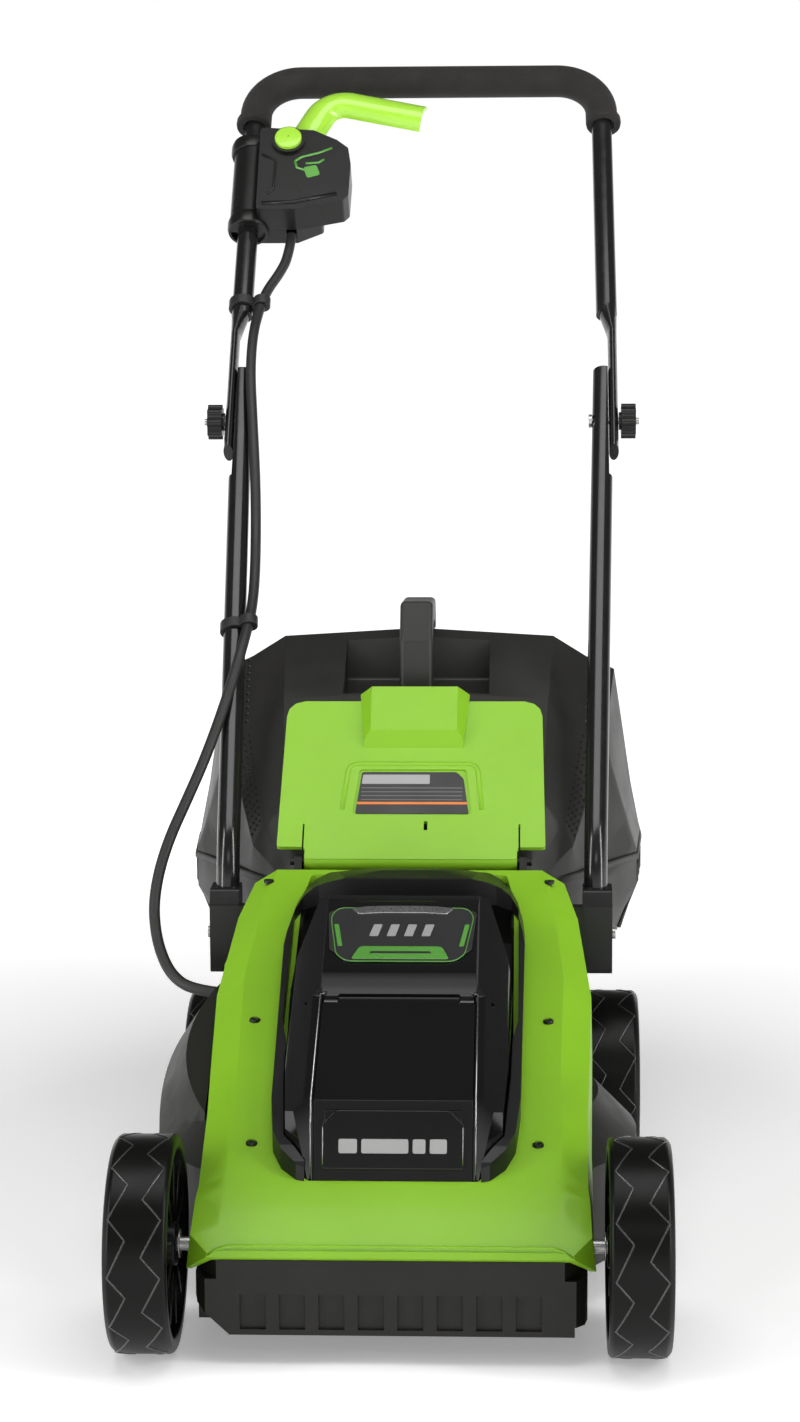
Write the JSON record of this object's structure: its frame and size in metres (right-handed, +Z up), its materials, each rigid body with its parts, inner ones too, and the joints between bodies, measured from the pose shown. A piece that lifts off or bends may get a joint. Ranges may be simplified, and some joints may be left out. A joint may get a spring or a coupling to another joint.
{
  "type": "push lawn mower",
  "caption": "Battery push mower with a sloping cover, hood and battery lid, rear flap, hard grass catcher, four wheels and a folding U handle with a start lever.",
  "frame": {"origin": "on the floor, under the middle of the mower's length and width", "axes": "+Z up, +Y towards the person pushing, +X to the right of someone facing the mower's front"},
  "size_m": [0.4069, 1.032, 0.936],
  "materials": {
    "deck_black": "matte",
    "cover_green": "satin",
    "hood_black": "gloss",
    "box_black": "satin",
    "bag_black": "satin",
    "wheel_black": "satin",
    "tube_black": "gloss",
    "foam_black": "matte",
    "rubber_black": "satin",
    "steel": "brushed",
    "zinc": "satin",
    "badge": "satin",
    "motor_grey": "satin",
    "board_green": "satin",
    "blade_steel": "satin"
  },
  "bodies": {
    "deck": {"lower_deck": "deck_black", "upper_cover": "cover_green", "motor_hood": "hood_black", "carry_handle": "hood_black", "badge_panel": "badge", "lid_hinge_pin": "zinc", "battery_pack": "box_black", "battery_terminal": "box_black", "control_board": "board_green", "motor_housing": "motor_grey", "motor_plate": "zinc", "motor_bearings": "steel", "motor_screws": "zinc", "cover_screws": "zinc", "handle_socket_left": "box_black", "handle_socket_right": "box_black", "socket_screws": "zinc", "lower_tube_left": "tube_black", "lower_tube_right": "tube_black", "fold_bolts": "zinc", "flap_hinge_rod": "zinc", "flap_spring": "steel", "cable_clip_lower": "rubber_black", "cable_gland": "rubber_black", "cable_lower": "rubber_black"},
    "lid": {"battery_lid": "hood_black"},
    "rotor": {"motor_rotor": "steel", "blade_adapter": "steel", "blade": "blade_steel", "blade_bolt": "zinc"},
    "flap": {"rear_flap": "cover_green"},
    "catcher": {"catcher_top": "bag_black", "catcher_basket": "bag_black", "catcher_handle": "bag_black"},
    "handle": {"upper_handle": "tube_black", "foam_grip": "foam_black", "switch_box_front": "box_black", "switch_box_back": "box_black", "box_screws": "zinc", "micro_switch": "box_black", "lever_pin": "steel", "cable_clip_upper": "rubber_black", "cable_upper": "rubber_black"},
    "lever": {"start_lever": "cover_green"},
    "button": {"lock_button": "cover_green"},
    "knob_left": {"fold_knob_left": "box_black"},
    "knob_right": {"fold_knob_right": "box_black"},
    "front_axle_set": {"front_axle": "zinc", "front_axle_washers": "zinc"},
    "front_wheel_left": {"front_wheel_left": "wheel_black", "front_hub_cap_left": "wheel_black"},
    "front_wheel_right": {"front_wheel_right": "wheel_black", "front_hub_cap_right": "wheel_black"},
    "rear_axle_set": {"rear_axle": "zinc", "rear_axle_washers": "zinc"},
    "rear_wheel_left": {"rear_wheel_left": "wheel_black", "rear_hub_cap_left": "wheel_black"},
    "rear_wheel_right": {"rear_wheel_right": "wheel_black", "rear_hub_cap_right": "wheel_black"}
  },
  "joints": [
    {"name": "blade_spin", "type": "hinge", "parent": "deck", "child": "rotor", "pos_m": [0, -0.24, 0.1], "axis": [0, 0, 1], "continuous": true},
    {"name": "lid_open", "type": "hinge", "parent": "deck", "child": "lid", "pos_m": [0, -0.302, 0.213], "axis": [-1, 0, 0], "range_deg": [0, 80]},
    {"name": "flap_lift", "type": "hinge", "parent": "deck", "child": "flap", "pos_m": [0, -0.06, 0.272], "axis": [1, 0, 0], "range_deg": [0, 45], "stiffness_Nm_per_rad": 0.15, "springref_deg": -45.84},
    {"name": "catcher_lift_off", "type": "slide", "parent": "deck", "child": "catcher", "axis": [0, 0.9397, 0.342], "range_m": [0, 0.12]},
    {"name": "handle_fold", "type": "hinge", "parent": "deck", "child": "handle", "pos_m": [0, 0.239, 0.611], "axis": [1, 0, 0], "range_deg": [0, 150], "deforming": ["cable_lower", "cable_upper"]},
    {"name": "lever_squeeze", "type": "hinge", "parent": "handle", "child": "lever", "pos_m": [-0.113, 0.41343, 0.84836], "axis": [0, -0.7638, 0.6455], "range_deg": [0, 14], "stiffness_Nm_per_rad": 0.6, "springref_deg": -20.05},
    {"name": "button_press", "type": "slide", "parent": "handle", "child": "button", "axis": [0, 0.7638, -0.6455], "range_m": [0, 0.0025], "stiffness_N_per_m": 300, "springref_m": -0.004},
    {"name": "knob_turn_left", "type": "hinge", "parent": "deck", "child": "knob_left", "pos_m": [-0.184, 0.239, 0.611], "axis": [-1, 0, 0], "range_deg": [0, 360]},
    {"name": "knob_turn_right", "type": "hinge", "parent": "deck", "child": "knob_right", "pos_m": [0.184, 0.239, 0.611], "axis": [1, 0, 0], "range_deg": [0, 360]},
    {"name": "front_axle_height", "type": "slide", "parent": "deck", "child": "front_axle_set", "axis": [0, 0, 1], "range_m": [-0.03, 0]},
    {"name": "front_wheel_left_roll", "type": "hinge", "parent": "front_axle_set", "child": "front_wheel_left", "pos_m": [-0.172, -0.44, 0.076], "axis": [1, 0, 0], "continuous": true},
    {"name": "front_wheel_right_roll", "type": "hinge", "parent": "front_axle_set", "child": "front_wheel_right", "pos_m": [0.172, -0.44, 0.076], "axis": [1, 0, 0], "continuous": true},
    {"name": "rear_axle_height", "type": "slide", "parent": "deck", "child": "rear_axle_set", "axis": [0, 0, 1], "range_m": [-0.03, 0]},
    {"name": "rear_wheel_left_roll", "type": "hinge", "parent": "rear_axle_set", "child": "rear_wheel_left", "pos_m": [-0.164, -0.01, 0.076], "axis": [1, 0, 0], "continuous": true},
    {"name": "rear_wheel_right_roll", "type": "hinge", "parent": "rear_axle_set", "child": "rear_wheel_right", "pos_m": [0.164, -0.01, 0.076], "axis": [1, 0, 0], "continuous": true}
  ]
}
